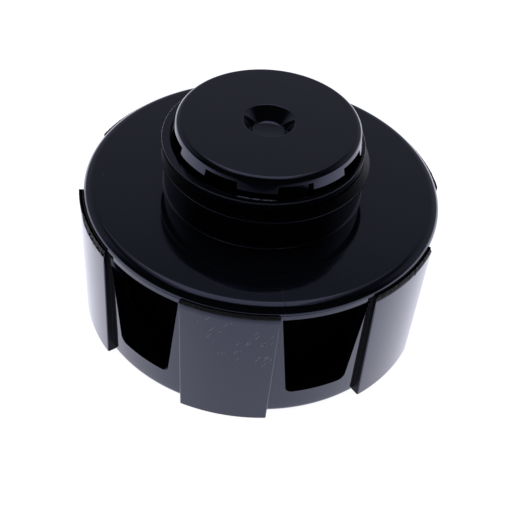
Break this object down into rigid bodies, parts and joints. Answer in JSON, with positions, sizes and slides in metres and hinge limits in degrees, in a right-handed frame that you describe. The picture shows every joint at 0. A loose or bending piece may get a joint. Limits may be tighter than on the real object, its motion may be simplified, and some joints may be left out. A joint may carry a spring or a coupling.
{
  "type": "hydraulic filler cap",
  "caption": "Black filler and breather cap, neck up: windowed crown with grip pads, foam filter, stepped neck, castellated end disc, sprung relief and vacuum valves inside.",
  "frame": {"origin": "centre of the crown's flat face, at the bottom, as the cap stands upside down", "axes": "+Z is the cap's axis, from the crown's face up to the neck; -Y points to the viewer of the picture, roughly at one grip pad; +X to the viewer's right"},
  "size_m": [0.1006, 0.1018, 0.0636],
  "materials": {
    "black_shell": "moulded black nylon with a semi-gloss skin",
    "black_insert": "moulded black plastic, plain inner part",
    "foam": "open-cell dark foam",
    "nitrile": "smooth black nitrile rubber",
    "spring_steel": "bright drawn spring wire",
    "zinc_steel": "pressed steel with bright zinc plating",
    "poppet_brass": "turned brass"
  },
  "bodies": {
    "cap_body": {"crown_shell": "black_shell", "neck_body": "black_shell", "end_disc": "black_shell", "foam_filter": "foam", "filter_cage": "black_insert", "cage_gasket": "nitrile", "spring_seat": "zinc_steel", "relief_spring": "spring_steel"},
    "relief_valve": {"relief_plate": "zinc_steel", "relief_seal": "nitrile", "vacuum_spring": "spring_steel"},
    "vacuum_valve": {"vacuum_poppet": "poppet_brass", "vacuum_seal": "nitrile", "stem_washer": "zinc_steel", "stem_clip": "spring_steel"}
  },
  "joints": [
    {"name": "relief_slide", "type": "slide", "parent": "cap_body", "child": "relief_valve", "axis": [0, 0, -1], "range_m": [0, 0.004], "stiffness_N_per_m": 1500, "springref_m": -0.011, "deforming": ["relief_spring"]},
    {"name": "vacuum_slide", "type": "slide", "parent": "relief_valve", "child": "vacuum_valve", "axis": [0, 0, 1], "range_m": [0, 0.002], "stiffness_N_per_m": 200, "springref_m": -0.003, "deforming": ["vacuum_spring"]}
  ]
}
